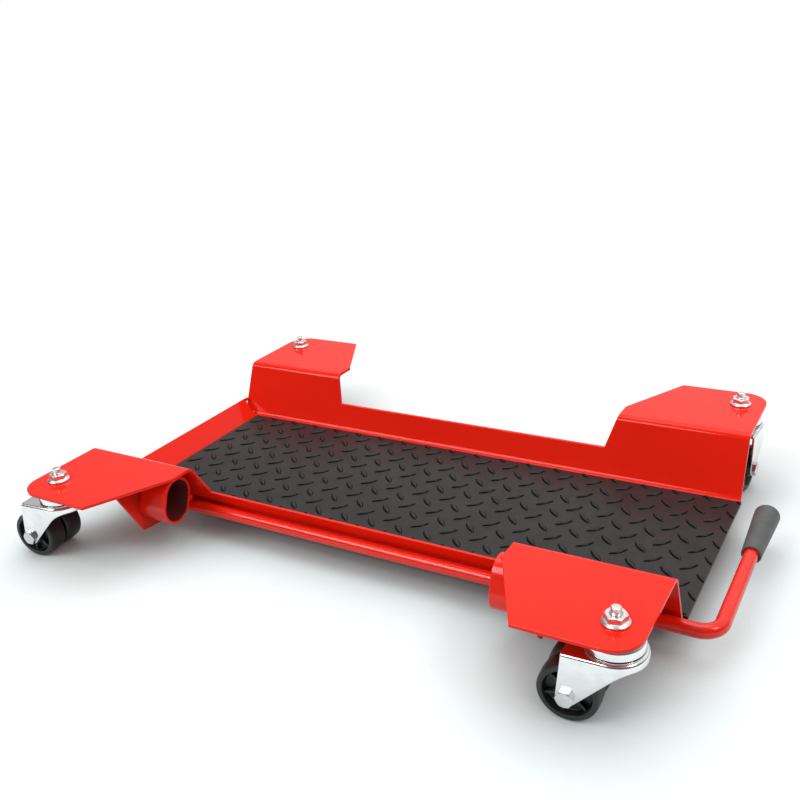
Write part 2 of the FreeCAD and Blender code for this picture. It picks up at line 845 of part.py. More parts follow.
build_pan()
build_mat()
for word, side in (("left", LEFT), ("right", RIGHT)):
    build_sleeve(f"sleeve_{word}", side)
    build_gusset(f"gusset_{word}", side)
build_sleeve_bosses()
build_lever_bar()
build_lever_rings()
build_lever_grip()
for castor in (Castor("near_left", LEFT, NEAR), Castor("near_right", RIGHT, NEAR),
               Castor("far_left", LEFT, FAR), Castor("far_right", RIGHT, FAR)):
    for build in (build_race, build_seal, build_balls, build_stem, build_stem_nut, build_fork,
                  build_axle, build_axle_nut, build_axle_sleeve):
        build(castor)
    build_wheel(castor, "inner_wheel", -1)
    build_wheel(castor, "outer_wheel", 1)
doc.recompute()

# Checks and export

for obj in doc.Objects:
    if "Invalid" in obj.State or "Error" in obj.State:
        raise RuntimeError(f"{obj.Label} did not build: {obj.State}")

members = [link for obj in doc.Objects if obj.isDerivedFrom("Part::Compound") for link in obj.Links]
kinds = ("PartDesign::Body", "Part::Compound")
nodes = [obj for obj in doc.Objects if obj.TypeId in kinds and obj not in members]
for node in nodes:
    if node.Shape.isNull() or not node.Shape.isValid():
        raise RuntimeError(f"{node.Label} has no valid shape")

os.makedirs("parts", exist_ok=True)
for node in nodes:
    node.Shape.exportStep(f"parts/{node.Label}.step")
    print(f"{node.Label}: {len(node.Shape.Solids)} solid(s), {node.Shape.Volume:.0f} mm3")
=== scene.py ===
"""Looks of the mover dolly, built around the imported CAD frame. Metres, in the CAD's own frame."""
import json
import math

import bmesh
import bpy
from mathutils import Matrix, Vector


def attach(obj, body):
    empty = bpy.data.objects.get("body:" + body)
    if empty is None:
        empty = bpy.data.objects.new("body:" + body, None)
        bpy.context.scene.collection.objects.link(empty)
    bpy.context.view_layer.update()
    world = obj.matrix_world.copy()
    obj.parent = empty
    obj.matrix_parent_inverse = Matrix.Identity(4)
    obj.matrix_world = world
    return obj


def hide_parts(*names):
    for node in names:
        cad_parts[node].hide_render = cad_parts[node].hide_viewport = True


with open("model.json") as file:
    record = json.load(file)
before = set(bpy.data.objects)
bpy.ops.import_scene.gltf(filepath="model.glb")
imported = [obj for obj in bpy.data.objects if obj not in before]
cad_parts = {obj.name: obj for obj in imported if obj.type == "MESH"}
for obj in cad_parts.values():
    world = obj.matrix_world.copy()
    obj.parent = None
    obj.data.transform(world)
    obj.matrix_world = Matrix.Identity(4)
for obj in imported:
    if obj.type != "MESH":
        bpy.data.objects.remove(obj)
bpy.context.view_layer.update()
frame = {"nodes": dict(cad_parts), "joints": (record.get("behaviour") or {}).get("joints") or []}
NODES = frame["nodes"]
MM = 0.001
CASTORS = ("near_left", "near_right", "far_left", "far_right")
SLEEVE_Y, SLEEVE_Z = -162.5, 31.78

# Camera, fitted to the photograph

CAMERA_PLACE = (0.46526, -0.76937, 0.480)
CAMERA_RIGHT = (0.86499, 0.49680, -0.07064)
CAMERA_UP = (-0.13498, 0.36594, 0.92080)
CAMERA_BACK = (0.48330, -0.78694, 0.38359)
FOCAL_PIXELS = 939.68
IMAGE_PIXELS = 800
SENSOR_MM = 36.0


def add_camera():
    """The camera, placed and turned as the photograph was taken."""
    data = bpy.data.cameras.new("camera")
    data.sensor_width = SENSOR_MM
    data.lens = SENSOR_MM * FOCAL_PIXELS / IMAGE_PIXELS
    data.clip_start = 0.01
    camera = bpy.data.objects.new("camera", data)
    turn = Matrix((CAMERA_RIGHT, CAMERA_UP, CAMERA_BACK)).transposed().to_4x4()
    camera.matrix_world = Matrix.Translation(CAMERA_PLACE) @ turn
    bpy.context.scene.collection.objects.link(camera)
    bpy.context.scene.camera = camera


# Node materials


def maths(tree, operation, first, second):
    """A maths node of two inputs; each is a source or a plain number."""
    node = tree.nodes.new("ShaderNodeMath")
    node.operation = operation
    for socket, source in zip(node.inputs, (first, second)):
        if isinstance(source, float):
            socket.default_value = source
        else:
            tree.links.new(source, socket)
    return node.outputs["Value"]


AO_SAMPLES = 8
INWARD_LIMIT = -0.004


class Shader:
    """A Principled material under construction, with object coordinates in metres."""

    def __init__(self, name):
        self.material = bpy.data.materials.new(name)
        self.material.use_nodes = True
        self.tree = self.material.node_tree
        self.bsdf = self.tree.nodes["Principled BSDF"]
        self.coords = self.add("ShaderNodeTexCoord").outputs["Object"]

    def add(self, kind):
        return self.tree.nodes.new(kind)

    def link(self, source, target):
        self.tree.links.new(source, target)

    def constant(self, **values):
        """Set shader sockets that are the same all over the surface."""
        for name, value in values.items():
            self.bsdf.inputs[name.replace("_", " ")].default_value = value

    def noise(self, scale, detail=3.0, stretch=(1, 1, 1), roughness=0.5):
        """Cloudy noise from 0 to 1, finer with a larger scale."""
        mapping = self.add("ShaderNodeMapping")
        mapping.inputs["Scale"].default_value = stretch
        self.link(self.coords, mapping.inputs["Vector"])
        node = self.add("ShaderNodeTexNoise")
        node.inputs["Scale"].default_value = scale
        node.inputs["Detail"].default_value = detail
        node.inputs["Roughness"].default_value = roughness
        self.link(mapping.outputs["Vector"], node.inputs["Vector"])
        return node.outputs["Fac"]

    def ramp(self, source, stops):
        """Colour or grey by position along a source from 0 to 1."""
        node = self.add("ShaderNodeValToRGB")
        elements = node.color_ramp.elements
        while len(elements) < len(stops):
            elements.new(0.5)
        for element, (position, colour) in zip(elements, stops):
            element.position = position
            element.color = (*colour, 1) if isinstance(colour, tuple) else (colour, colour, colour, 1)
        self.link(source, node.inputs["Fac"])
        return node.outputs["Color"]

    def mix(self, factor, a, b):
        """From a to b by a factor; each is a source or a plain colour."""
        node = self.add("ShaderNodeMix")
        node.data_type = "RGBA"
        self.link(factor, node.inputs["Factor"])
        for name, source in (("A", a), ("B", b)):
            if isinstance(source, tuple):
                node.inputs[name].default_value = (*source, 1)
            else:
                self.link(source, node.inputs[name])
        return node.outputs["Result"]

    def openness(self, reach):
        """0 deep in a recess, 1 where nothing stands within reach."""
        node = self.add("ShaderNodeAmbientOcclusion")
        node.samples = AO_SAMPLES
        node.inputs["Distance"].default_value = reach
        return node.outputs["AO"]

    def axis(self, source, letter):
        """One coordinate of a vector source."""
        node = self.add("ShaderNodeSeparateXYZ")
        self.link(source, node.inputs["Vector"])
        return node.outputs[letter]

    def outward(self, y, z):
        """1 on faces that look away from an axis along X, 0 on those that look towards it."""
        geometry = self.add("ShaderNodeNewGeometry")
        arm = self.add("ShaderNodeVectorMath")
        arm.operation = "MULTIPLY_ADD"
        arm.inputs[1].default_value = (0, 1, 1)
        arm.inputs[2].default_value = (0, -y, -z)
        self.link(geometry.outputs["Position"], arm.inputs[0])
        along = self.add("ShaderNodeVectorMath")
        along.operation = "DOT_PRODUCT"
        self.link(arm.outputs["Vector"], along.inputs[0])
        self.link(geometry.outputs["Normal"], along.inputs[1])
        return maths(self.tree, "GREATER_THAN", along.outputs["Value"], INWARD_LIMIT)

    def bump(self, layers):
        """Stack bumps of (height source, depth in metres, strength)."""
        normal = None
        for height, depth, strength in layers:
            node = self.add("ShaderNodeBump")
            node.inputs["Distance"].default_value = depth
            node.inputs["Strength"].default_value = strength
            self.link(height, node.inputs["Height"])
            if normal:
                self.link(normal, node.inputs["Normal"])
            normal = node.outputs["Normal"]
        self.link(normal, self.bsdf.inputs["Normal"])

    def colour(self, source):
        self.link(source, self.bsdf.inputs["Base Color"])

    def roughness(self, source):
        self.link(source, self.bsdf.inputs["Roughness"])


# Dark red painted as shade in recesses and on the inner faces of the sleeves' bores
PAINTED_SHADE_RED = (0.150, 0.022, 0.022)


def red_paint(name, smooth=0.05, rough=0.10, shine=0.20, recesses=False, bore=False):
    """Glossy powder coat: faint orange peel, slightly uneven colour; painted shade darkens it in recesses
    and bores and dims its shine in crevices.
    """
    shader = Shader(name)
    coat = shader.ramp(shader.noise(7, 4), [(0.3, (0.84, 0.014, 0.0035)), (0.7, (0.90, 0.018, 0.0050))])
    # Painted shade: darker red where ambient occlusion finds a recess
    if recesses:
        coat = shader.mix(shader.ramp(shader.openness(0.04), [(0.20, 0.0), (0.72, 1.0)]), PAINTED_SHADE_RED, coat)
    # Painted shade: darker red on the inner faces of the sleeve's bore
    if bore:
        coat = shader.mix(shader.outward(SLEEVE_Y * MM, SLEEVE_Z * MM), PAINTED_SHADE_RED, coat)
    shader.colour(coat)
    shader.roughness(shader.ramp(shader.noise(40, 4), [(0.3, smooth), (0.7, rough)]))
    shader.bump([(shader.noise(45, 2), 0.0004, 0.03), (shader.noise(520, 2), 0.0001, 0.05)])
    # Painted shade on the reflection: the shine fades to nothing in crevices
    dull = shader.ramp(shader.openness(0.03), [(0.30, 0.0), (0.70, shine)])
    shader.link(dull, shader.bsdf.inputs["Specular IOR Level"])
    return shader.material


def zinc_plate(name="zinc_plate", dark=0.72, bright=0.86, smooth=0.08, rough=0.20):
    """Bright zinc: cloudy gloss with fine rubbing marks."""
    shader = Shader(name)
    cloud = shader.noise(55, 5, roughness=0.6)
    shader.colour(shader.ramp(cloud, [(0.3, (dark, dark, dark * 1.01)), (0.7, (bright, bright, bright))]))
    scuff = shader.noise(160, 4, stretch=(1, 1, 6), roughness=0.65)
    shader.roughness(shader.ramp(scuff, [(0.3, smooth), (0.75, rough)]))
    shader.bump([(scuff, 0.0001, 0.02), (cloud, 0.0003, 0.015)])
    shader.constant(Metallic=1.0)
    return shader.material


def mat_rubber():
    """Dark grey rubber sheet with a fine matt grain; the bars' flanks are smooth, with painted shade making
    them dark and dimming their sheen.
    """
    shader = Shader("mat_rubber")
    patch = shader.noise(22, 5, roughness=0.6)
    sheet = shader.ramp(patch, [(0.3, (0.015, 0.0143, 0.0136)), (0.7, (0.024, 0.0230, 0.0220))])
    # Painted shade: the bars' steep flanks are made near black
    slope = shader.axis(shader.add("ShaderNodeNewGeometry").outputs["Normal"], "Z")
    flat = shader.ramp(slope, [(0.70, 0.0), (0.96, 1.0)])
    shader.colour(shader.mix(flat, (0.003, 0.003, 0.003), sheet))
    worn = shader.ramp(shader.noise(90, 4), [(0.3, 0.38), (0.7, 0.52)])
    shader.roughness(shader.mix(flat, (0.20, 0.20, 0.20), worn))
    shader.bump([(shader.noise(1600, 3, roughness=0.6), 0.0001, 0.2)])
    # Painted shade on the reflection: less shine on the bars' flanks
    sheen = shader.ramp(slope, [(0.70, 0.11), (0.96, 0.26)])
    shader.link(sheen, shader.bsdf.inputs["Specular IOR Level"])
    return shader.material


def grip_rubber():
    """Grey moulded grip: dull, fine grained, darker where it is handled."""
    shader = Shader("grip_rubber")
    hand = shader.noise(60, 4)
    shader.colour(shader.ramp(hand, [(0.3, (0.078, 0.082, 0.080)), (0.7, (0.104, 0.109, 0.106))]))
    shader.roughness(shader.ramp(shader.noise(240, 3), [(0.3, 0.46), (0.7, 0.60)]))
    shader.bump([(shader.noise(1900, 3, roughness=0.6), 0.00012, 0.3)])
    shader.constant(Specular_IOR_Level=0.4)
    return shader.material


def wheel_black():
    """Black moulded wheel: satin, with floor scuffs in fine streaks."""
    shader = Shader("wheel_black")
    mould = shader.noise(70, 4)
    base = shader.ramp(mould, [(0.3, (0.009, 0.009, 0.009)), (0.7, (0.016, 0.0155, 0.015))])
    scuff = shader.ramp(shader.noise(300, 5, roughness=0.7), [(0.62, 0.0), (0.80, 0.35)])
    shader.colour(shader.mix(scuff, base, (0.045, 0.044, 0.043)))
    shader.roughness(shader.ramp(shader.noise(180, 4), [(0.3, 0.36), (0.7, 0.52)]))
    shader.bump([(shader.noise(900, 3), 0.0001, 0.15)])
    return shader.material


def seal_rubber():
    """Black seal: matt with a little lint."""
    shader = Shader("seal_rubber")
    lint = shader.noise(300, 4)
    shader.colour(shader.ramp(lint, [(0.3, (0.008, 0.008, 0.008)), (0.8, (0.020, 0.019, 0.018))]))
    shader.roughness(shader.ramp(shader.noise(200, 3), [(0.3, 0.60), (0.7, 0.80)]))
    shader.bump([(shader.noise(1200, 3), 0.0001, 0.2)])
    return shader.material


PAINT = red_paint("red_paint")
LEVER_PAINT = red_paint("lever_paint", smooth=0.16, rough=0.22, shine=0.45)
GUSSET_PAINT = red_paint("gusset_paint", recesses=True)
SLEEVE_PAINT = red_paint("sleeve_paint", smooth=0.16, rough=0.22, shine=0.40, bore=True)
ZINC = zinc_plate()
NUT_ZINC = zinc_plate("nut_zinc", dark=0.74, bright=0.88, smooth=0.26, rough=0.34)
BOLT_ZINC = zinc_plate("bolt_zinc", dark=0.58, bright=0.74, smooth=0.26, rough=0.34)
BALL_STEEL = zinc_plate("ball_steel", dark=0.55, bright=0.66, smooth=0.06, rough=0.14)
MAT = mat_rubber()
GRIP = grip_rubber()
WHEEL = wheel_black()
SEAL = seal_rubber()

# Mesh helpers


def piece(name, mesh_code, material, body, replaces=(), sharp=35):
    """Turn finished mesh code into a piece that rides on a body."""
    bmesh.ops.recalc_face_normals(mesh_code, faces=mesh_code.faces)
    mesh = bpy.data.meshes.new(name)
    mesh_code.to_mesh(mesh)
    mesh_code.free()
    mesh.shade_smooth()
    mesh.set_sharp_from_angle(angle=math.radians(sharp))
    mesh.materials.append(material)
    obj = bpy.data.objects.new(name, mesh)
    bpy.context.scene.collection.objects.link(obj)
    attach(obj, body)
    if replaces:
        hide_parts(*replaces)
    return obj


def around(count):
    """Equal angles round a full turn."""
    return [2 * math.pi * k / count for k in range(count)]


def polar(radius, angle, height):
    """A point at a radius and an angle about the local Z axis."""
    return Vector((radius * math.cos(angle), radius * math.sin(angle), height))


def skin(mesh_code, rings, closed):
    """Faces between neighbouring rings; a ring of one vertex is a pole."""
    pairs = list(zip(rings, rings[1:]))
    if closed:
        pairs.append((rings[-1], rings[0]))
    for lower, upper in pairs:
        count = max(len(lower), len(upper))
        for k in range(count):
            after = (k + 1) % count
            corners = [lower[k % len(lower)], lower[after % len(lower)],
                       upper[after % len(upper)], upper[k % len(upper)]]
            mesh_code.faces.new(list(dict.fromkeys(corners)))


def lathe(mesh_code, profile, place, segments=64):
    """Revolve (radius, height) points about the local Z axis; radius 0 closes the end."""
    rings = []
    for radius, height in profile:
        if radius == 0:
            rings.append([mesh_code.verts.new(place @ Vector((0, 0, height)))])
        else:
            rings.append([mesh_code.verts.new(place @ polar(radius, a, height)) for a in around(segments)])
    skin(mesh_code, rings, closed=profile[0][0] > 0 and profile[-1][0] > 0)


CORNER_SHARE = 0.49


def softened(points, steps=4):
    """Round the corners of a closed outline of (x, y, corner radius) points."""
    out = []
    for k, (x, y, radius) in enumerate(points):
        here = Vector((x, y))
        before = Vector(points[k - 1][:2]) - here
        after = Vector(points[(k + 1) % len(points)][:2]) - here
        if radius == 0 or before.length == 0 or after.length == 0:
            out.append((x, y))
            continue
        half = before.angle(after) / 2
        room = CORNER_SHARE * min(before.length, after.length)
        reach = min(radius / math.tan(half), room)
        start, end = here + before.normalized() * reach, here + after.normalized() * reach
        for step in range(steps + 1):
            t = step / steps
            point = start * (1 - t) ** 2 + here * (2 * t * (1 - t)) + end * t ** 2
            out.append((point.x, point.y))
    return out


def hex_radius(angle, flats):
    """Distance to the side of a hexagon with a corner at angle 0."""
    return flats / 2 / math.cos(angle % (math.pi / 3) - math.pi / 6)


HEX_SEGMENTS = 72
CHAMFER, CROWN_SHARE = math.tan(math.radians(30)), 0.475


def hex_head(mesh_code, flats, bottom, top, place, bore=0.0, both_ends=False):
    """A hexagon nut or bolt head with its corners chamfered off."""
    crown = flats * CROWN_SHARE

    def ring(shape):
        points = []
        for angle in around(HEX_SEGMENTS):
            radius, height = shape(hex_radius(angle, flats))
            points.append(mesh_code.verts.new(place @ polar(radius, angle, height)))
        return points

    def drop(r):
        return max(0.0, r - crown) * CHAMFER

    rings = []
    if both_ends:
        rings += [ring(lambda r: (min(r, crown), bottom)), ring(lambda r: (r, bottom + drop(r)))]
    else:
        rings.append(ring(lambda r: (r, bottom)))
    rings += [ring(lambda r: (r, top - drop(r))), ring(lambda r: (min(r, crown), top))]
    if bore:
        rings += [ring(lambda r: (bore, top)), ring(lambda r: (bore, bottom))]
        skin(mesh_code, rings, closed=True)
    else:
        under = [mesh_code.verts.new(place @ Vector((0, 0, bottom)))]
        cap = [mesh_code.verts.new(place @ Vector((0, 0, top)))]
        skin(mesh_code, [under] + rings + [cap], closed=False)


def box_block(mesh_code, low, high, place):
    """A plain block between two corners, as part of a larger piece."""
    size = [h - l for l, h in zip(low, high)]
    middle = [(l + h) / 2 for l, h in zip(low, high)]
    shape = Matrix.Translation(middle) @ Matrix.Diagonal((*size, 1))
    bmesh.ops.create_cube(mesh_code, size=1.0, matrix=place @ shape)


BEAD_STEP, BEAD_RIPPLE, BEAD_SWELL = 0.5, 2.4, 0.09
OFF_THE_RUNS = Vector((0.31, 0.52, 0.80))


def bead(mesh_code, path, radius, sides=10):
    """A weld bead along a path in millimetres: a rippled run with rounded ends."""
    path = [Vector(point) for point in path]
    lengths = [0.0]
    for before, after in zip(path, path[1:]):
        lengths.append(lengths[-1] + (after - before).length)
    total = lengths[-1]
    steps = max(10, int(total / BEAD_STEP))
    rings = [[mesh_code.verts.new(path[0] * MM)]]
    leg = 0
    for k in range(1, steps):
        along = total * k / steps
        while lengths[leg + 1] < along:
            leg += 1
        run = path[leg + 1] - path[leg]
        centre = path[leg] + run * ((along - lengths[leg]) / run.length)
        across = run.cross(OFF_THE_RUNS).normalized()
        other = run.normalized().cross(across)
        edge = min(1.0, min(along, total - along) / radius)
        wave = 1 + BEAD_SWELL * math.sin(2 * math.pi * along / BEAD_RIPPLE)
        swell = radius * math.sqrt(edge * (2 - edge)) * wave
        ring = [centre + (across * math.cos(a) + other * math.sin(a)) * swell for a in around(sides)]
        rings.append([mesh_code.verts.new(point * MM) for point in ring])
    rings.append([mesh_code.verts.new(path[-1] * MM)])
    skin(mesh_code, rings, closed=False)


def soften_edges(node, width_mm):
    """Small rounded edges on a CAD node, by modifiers alone."""
    obj = NODES[node]
    weld = obj.modifiers.new("weld", "WELD")
    weld.merge_threshold = 0.00001
    merge = obj.modifiers.new("merge", "DECIMATE")
    merge.decimate_type = "DISSOLVE"
    merge.angle_limit = math.radians(0.5)
    bevel = obj.modifiers.new("bevel", "BEVEL")
    bevel.width = width_mm * MM
    bevel.segments = 3
    bevel.limit_method = "ANGLE"
    bevel.angle_limit = math.radians(40)
    bevel.harden_normals = False
    normals = obj.modifiers.new("normals", "WEIGHTED_NORMAL")
    normals.keep_sharp = True


def finish_node(node, material, edge_mm=0.0):
    """Give a CAD node its material, and soft edges where it has sharp ones."""
    slots = NODES[node].data.materials
    slots.clear()
    slots.append(material)
    if edge_mm:
        soften_edges(node, edge_mm)


# Steel pan, tubes and lever

finish_node("pan", PAINT, 0.7)
for node in ("gusset_left", "gusset_right"):
    finish_node(node, GUSSET_PAINT, 0.7)
for node in ("sleeve_left", "sleeve_right"):
    finish_node(node, SLEEVE_PAINT, 0.5)
finish_node("sleeve_bosses", GUSSET_PAINT, 0.5)
finish_node("lever_bar", LEVER_PAINT)
finish_node("lever_rings", ZINC)

BED_Z = -3.0
WING_UNDER = 56.0
TAB_TOP = (-317.5, 112.5, 15.4)
WALL_AT_TAB = (-316.5, 119.6, 14.0)
SLEEVE_TOP_Y = -160.3
SLEEVE_MOUTH = {-1: 183.5, 1: 175.5}
GUSSET_X, GUSSET_HALF = 220.0, 1.5
WELD_R, TAB_WELD_R = 1.6, 2.2
SLEEVE_WELD_Y, SLEEVE_WELD_INSET, SLEEVE_WELD_Z = 7.5, 8.0, WING_UNDER - 0.9
GUSSET_WELD_Y, GUSSET_WELD_Z = (-205.0, -192.0), WING_UNDER - 0.6
WALL_WELD = ((-121.3, 14.0), (-131.0, 36.0))


def add_welds():
    """Painted weld beads: the tab's corners, the sleeves and the gussets."""
    mesh_code = bmesh.new()
    for side in (-1, 1):
        bead(mesh_code, [(TAB_TOP[0], side * TAB_TOP[1], TAB_TOP[2]),
                         (WALL_AT_TAB[0], side * WALL_AT_TAB[1], WALL_AT_TAB[2])], TAB_WELD_R)
    for side in (-1, 1):
        for edge in (-1, 1):
            y = SLEEVE_TOP_Y + edge * SLEEVE_WELD_Y
            bead(mesh_code, [(side * (SLEEVE_MOUTH[side] + SLEEVE_WELD_INSET), y, SLEEVE_WELD_Z),
                             (side * (GUSSET_X - GUSSET_HALF - 1), y, SLEEVE_WELD_Z)], WELD_R)
        for face in (-1, 1):
            x = side * GUSSET_X + face * (GUSSET_HALF + 0.4)
            bead(mesh_code, [(x, y, GUSSET_WELD_Z) for y in GUSSET_WELD_Y], WELD_R)
            bead(mesh_code, [(x, y, z) for y, z in WALL_WELD], WELD_R)
    piece("weld_beads", mesh_code, PAINT, "frame", sharp=60)


add_welds()

# Rubber mat with raised bars

MAT_LOW = (-293.5, -105.5)
MAT_HIGH = (320.0, 105.5)
BAR_PITCH = (32.4, 30.1)
BAR_START = (-248.9, -1.5)
BAR_LENGTH, BAR_WIDTH, BAR_HEIGHT = 21.5, 6.2, 1.7
BAR_STEPS, BAR_ROWS = 12, 6
BAR_SUNK = 0.4
MAT_BORDER, BAR_OVERHANG = 2.5, 3.0
MAT_GAP, MAT_EDGE_BELOW, MAT_EDGE_ABOVE = 0.05, 0.3, 0.8


def raised_bar(mesh_code, x, y, angle):
    """One lens-shaped bar: pointed ends, rounded back, closed below."""
    place = Matrix.Translation((x, y, 0)) @ Matrix.Rotation(angle, 4, "Z")

    def vertex(u, v, z):
        return mesh_code.verts.new(place @ Vector((u, v, z)))

    rings = [[vertex(-BAR_LENGTH / 2, 0, -BAR_SUNK)]]
    for step in range(1, BAR_STEPS):
        t = 2 * step / BAR_STEPS - 1
        half = BAR_WIDTH / 2 * (1 - t * t)
        height = BAR_HEIGHT * (1 - t ** 4)
        ring = [vertex(t * BAR_LENGTH / 2, -half, -BAR_SUNK)]
        for row in range(BAR_ROWS + 1):
            v = 2 * row / BAR_ROWS - 1
            ring.append(vertex(t * BAR_LENGTH / 2, v * half, height * (1 - v * v)))
        ring.append(vertex(t * BAR_LENGTH / 2, half, -BAR_SUNK))
        rings.append(ring)
    rings.append([vertex(BAR_LENGTH / 2, 0, -BAR_SUNK)])
    skin(mesh_code, rings, closed=False)


def bar_places():
    """Centres and angles of the bars: a grid one way, and the other way in the middle of its cells."""
    columns, rows = range(-2, 20), range(-4, 5)
    for i in columns:
        for j in rows:
            x, y = BAR_START[0] + i * BAR_PITCH[0], BAR_START[1] + j * BAR_PITCH[1]
            yield x, y, math.radians(45)
            yield x + BAR_PITCH[0] / 2, y + BAR_PITCH[1] / 2, math.radians(-45)


def cut_to_mat(mesh_code):
    """Trim the bars at the mat's edges and close the cuts."""
    for axis, inset in ((0, MAT_GAP), (1, MAT_BORDER)):
        for edge, sign in ((MAT_LOW[axis] + inset, -1), (MAT_HIGH[axis] - inset, 1)):
            point, normal = Vector((0, 0, 0)), Vector((0, 0, 0))
            point[axis], normal[axis] = edge, sign
            geometry = mesh_code.verts[:] + mesh_code.edges[:] + mesh_code.faces[:]
            cut = bmesh.ops.bisect_plane(mesh_code, geom=geometry, plane_co=point, plane_no=normal,
                                         clear_outer=True, dist=0.0001)
            edges = [item for item in cut["geom_cut"] if isinstance(item, bmesh.types.BMEdge)]
            bmesh.ops.edgenet_fill(mesh_code, edges=edges)


def add_mat():
    """The mat: a slab with soft long edges and its pattern of bars."""
    mesh_code = bmesh.new()
    for x, y, angle in bar_places():
        inside = all(MAT_LOW[k] - BAR_OVERHANG < (x, y)[k] < MAT_HIGH[k] + BAR_OVERHANG for k in (0, 1))
        if inside:
            raised_bar(mesh_code, x, y, angle)
    cut_to_mat(mesh_code)
    under = BED_Z + MAT_GAP
    slab = softened([(MAT_LOW[1], under, MAT_EDGE_BELOW), (MAT_HIGH[1], under, MAT_EDGE_BELOW),
                     (MAT_HIGH[1], 0, MAT_EDGE_ABOVE), (MAT_LOW[1], 0, MAT_EDGE_ABOVE)])
    ends = []
    for x in (MAT_LOW[0], MAT_HIGH[0]):
        ends.append([mesh_code.verts.new((x, y, z)) for y, z in slab])
    skin(mesh_code, ends, closed=False)
    for end in ends:
        mesh_code.faces.new(end)
    bmesh.ops.scale(mesh_code, vec=(MM, MM, MM), verts=mesh_code.verts)
    piece("mat_tread", mesh_code, MAT, "frame", ["rubber_mat"], sharp=50)


add_mat()

# Lever grip

ELBOW_X, LEVER_Y, LEVER_Z = 349.0, -128.0, 6.0
GRIP_MOUTH, GRIP_END = 128.0, 206.0


def add_grip():
    """The grip: a tapered tube with a rolled mouth and a flat end."""
    place = (Matrix.Diagonal((MM, MM, MM, 1)) @ Matrix.Translation((ELBOW_X, LEVER_Y, LEVER_Z))
             @ Matrix.Rotation(math.radians(-90), 4, "X"))
    profile = softened([(6.55, GRIP_MOUTH + 3, 0), (7.0, GRIP_MOUTH, 0.5), (9.0, GRIP_MOUTH, 0.9),
                        (9.1, GRIP_MOUTH + 4, 2), (11.8, GRIP_END - 8, 14), (12.0, GRIP_END, 1.6)], 6)
    mesh_code = bmesh.new()
    lathe(mesh_code, profile + [(0, GRIP_END)], place, 72)
    piece("grip", mesh_code, GRIP, "lever", ["lever_grip"], sharp=60)


# Castors, in millimetres from the wing's underside on the stem's axis, wheels trailing along +X

FORK_HALF, FORK_TOP, FORK_UNDER = 25.4, -17.2, -24.2
FORK_ROUND, FORK_THK, FORK_END = 3.2, 2.5, 34.0
FORK_TIP, TRAIL, AXLE_Z = 8.0, 30.0, -55.5
LEG_FRONT, LEG_HOLLOW = -11.0, 9.0
FORK_SIDE_STEPS, FORK_NOSE_STEPS, FORK_EDGE_STEPS = 28, 40, 6
LEG_ROWS, FORK_BEVEL = (0.33, 0.67, 1.0), 0.4
JOINTS = {joint["name"]: joint for joint in frame["joints"]}


def stem_frame(name, turn):
    """Local millimetres about one castor's stem to the shared frame, turned by an angle."""
    stem = Vector(JOINTS[f"{name}_swivel_turn"]["pos_m"])
    return (Matrix.Translation((stem.x, stem.y, WING_UNDER * MM)) @ Matrix.Rotation(turn, 4, "Z")
            @ Matrix.Diagonal((MM, MM, MM, 1)))


def castor_frame(name):
    """The stem's frame, turned the way the castor's wheels trail."""
    stem = Vector(JOINTS[f"{name}_swivel_turn"]["pos_m"])
    axle = Vector(JOINTS[f"{name}_inner_wheel_spin"]["pos_m"])
    return stem_frame(name, math.atan2(axle.y - stem.y, axle.x - stem.x))


def leg_bottom(x):
    """Lower edge of the fork's side: the skirt, the slanted front of the leg, then its round tip."""
    run, drop = TRAIL - LEG_FRONT, FORK_UNDER - AXLE_Z
    reach = math.hypot(run, drop)
    ratio = FORK_TIP / reach
    root = math.sqrt(1 - ratio ** 2)
    tangent_x = TRAIL - FORK_TIP * (ratio * run + root * drop) / reach
    tangent_z = AXLE_Z + FORK_TIP * (ratio * drop - root * run) / reach
    if x <= LEG_FRONT - LEG_HOLLOW:
        return FORK_UNDER
    slope = (tangent_z - FORK_UNDER) / (tangent_x - LEG_FRONT)
    if x <= LEG_FRONT + LEG_HOLLOW:
        return FORK_UNDER + slope * (x - LEG_FRONT + LEG_HOLLOW) ** 2 / (4 * LEG_HOLLOW)
    if x <= tangent_x:
        return FORK_UNDER + slope * (x - LEG_FRONT)
    return AXLE_Z - math.sqrt(max(0.0, FORK_TIP ** 2 - (x - TRAIL) ** 2))


def fork_columns():
    """Points round the fork's plan with their outward directions, from one rear corner to the other."""
    runs = [FORK_END * (1 - (k / FORK_SIDE_STEPS) ** 1.5) for k in range(FORK_SIDE_STEPS)]
    side = [(x, FORK_HALF, 0.0, 1.0) for x in runs]
    nose = [(FORK_HALF * math.cos(a), FORK_HALF * math.sin(a), math.cos(a), math.sin(a))
            for a in (math.pi / 2 + math.pi * k / FORK_NOSE_STEPS for k in range(FORK_NOSE_STEPS + 1))]
    return side + nose + [(x, -FORK_HALF, 0.0, -1.0) for x in reversed(runs)]


